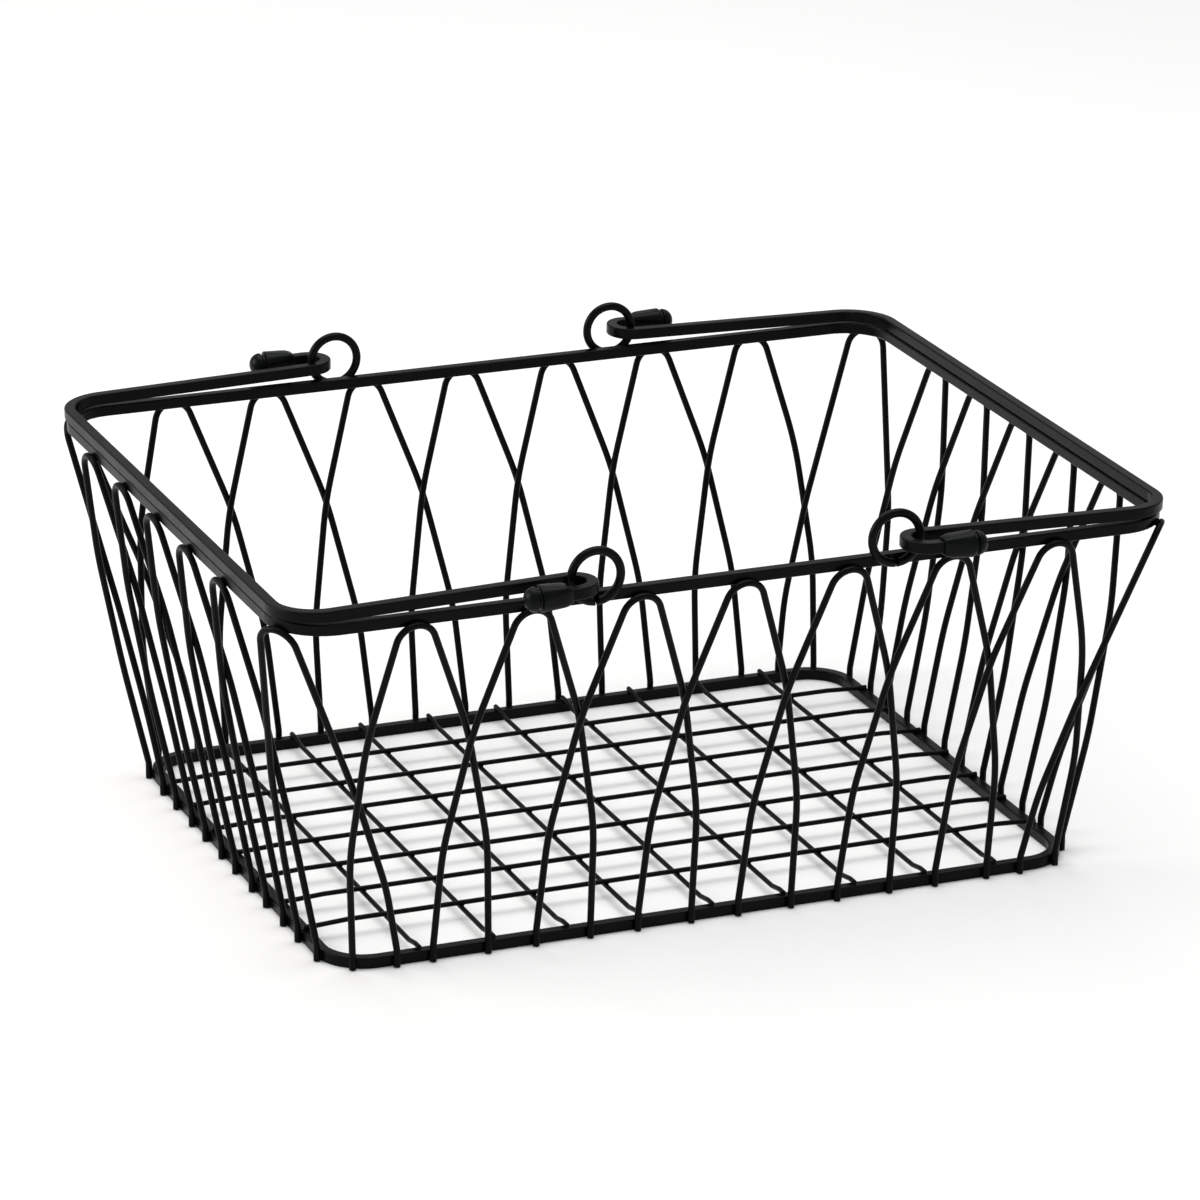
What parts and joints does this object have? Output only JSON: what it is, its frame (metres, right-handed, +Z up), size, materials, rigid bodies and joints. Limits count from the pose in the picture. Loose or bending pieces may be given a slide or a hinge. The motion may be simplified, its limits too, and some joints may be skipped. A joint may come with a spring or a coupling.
{
  "type": "shopping basket",
  "caption": "Open wire shopping basket with splayed looped-wire walls, a grid floor, a square-bar rim and two drop handles hooked into rings on the rim.",
  "frame": {"origin": "centre of the base frame's footprint on the floor", "axes": "+X along the long sides, +Y across from the front side to the back side, +Z up"},
  "size_m": [0.4167, 0.3556, 0.1882],
  "materials": {
    "coated_steel": "satin black powder coat on steel bar and wire",
    "vinyl": "matte black dip-moulded vinyl"
  },
  "bodies": {
    "basket": {"base_frame": "coated_steel", "top_rim": "coated_steel", "floor_cross_wire_1": "coated_steel", "floor_cross_wire_2": "coated_steel", "floor_cross_wire_3": "coated_steel", "floor_cross_wire_4": "coated_steel", "floor_cross_wire_5": "coated_steel", "floor_cross_wire_6": "coated_steel", "floor_cross_wire_7": "coated_steel", "floor_cross_wire_8": "coated_steel", "floor_cross_wire_9": "coated_steel", "floor_long_wire_1": "coated_steel", "floor_long_wire_2": "coated_steel", "floor_long_wire_3": "coated_steel", "floor_long_wire_4": "coated_steel", "floor_long_wire_5": "coated_steel", "floor_long_wire_6": "coated_steel", "floor_long_wire_7": "coated_steel", "hairpin_front_1": "coated_steel", "hairpin_front_2": "coated_steel", "hairpin_front_3": "coated_steel", "hairpin_front_4": "coated_steel", "hairpin_front_5": "coated_steel", "hairpin_front_6": "coated_steel", "hairpin_front_7": "coated_steel", "hairpin_right_1": "coated_steel", "hairpin_right_2": "coated_steel", "hairpin_right_3": "coated_steel", "hairpin_right_4": "coated_steel", "hairpin_right_5": "coated_steel", "hairpin_back_1": "coated_steel", "hairpin_back_2": "coated_steel", "hairpin_back_3": "coated_steel", "hairpin_back_4": "coated_steel", "hairpin_back_5": "coated_steel", "hairpin_back_6": "coated_steel", "hairpin_back_7": "coated_steel", "hairpin_left_1": "coated_steel", "hairpin_left_2": "coated_steel", "hairpin_left_3": "coated_steel", "hairpin_left_4": "coated_steel", "hairpin_left_5": "coated_steel", "hairpin_corner_1": "coated_steel", "hairpin_corner_2": "coated_steel", "hairpin_corner_3": "coated_steel", "hairpin_corner_4": "coated_steel", "ring_front_left": "coated_steel", "ring_back_left": "coated_steel", "ring_front_right": "coated_steel", "ring_back_right": "coated_steel"},
    "left_handle": {"handle_left": "coated_steel", "end_cap_front_left": "vinyl", "end_cap_back_left": "vinyl"},
    "right_handle": {"handle_right": "coated_steel", "end_cap_front_right": "vinyl", "end_cap_back_right": "vinyl"}
  },
  "joints": [
    {"name": "left_handle_hinge", "type": "hinge", "parent": "basket", "child": "left_handle", "pos_m": [-0.072, 0, 0.1736], "axis": [0, 1, 0], "range_deg": [0, 122]},
    {"name": "right_handle_hinge", "type": "hinge", "parent": "basket", "child": "right_handle", "pos_m": [0.072, 0, 0.1736], "axis": [0, -1, 0], "range_deg": [0, 122]}
  ]
}
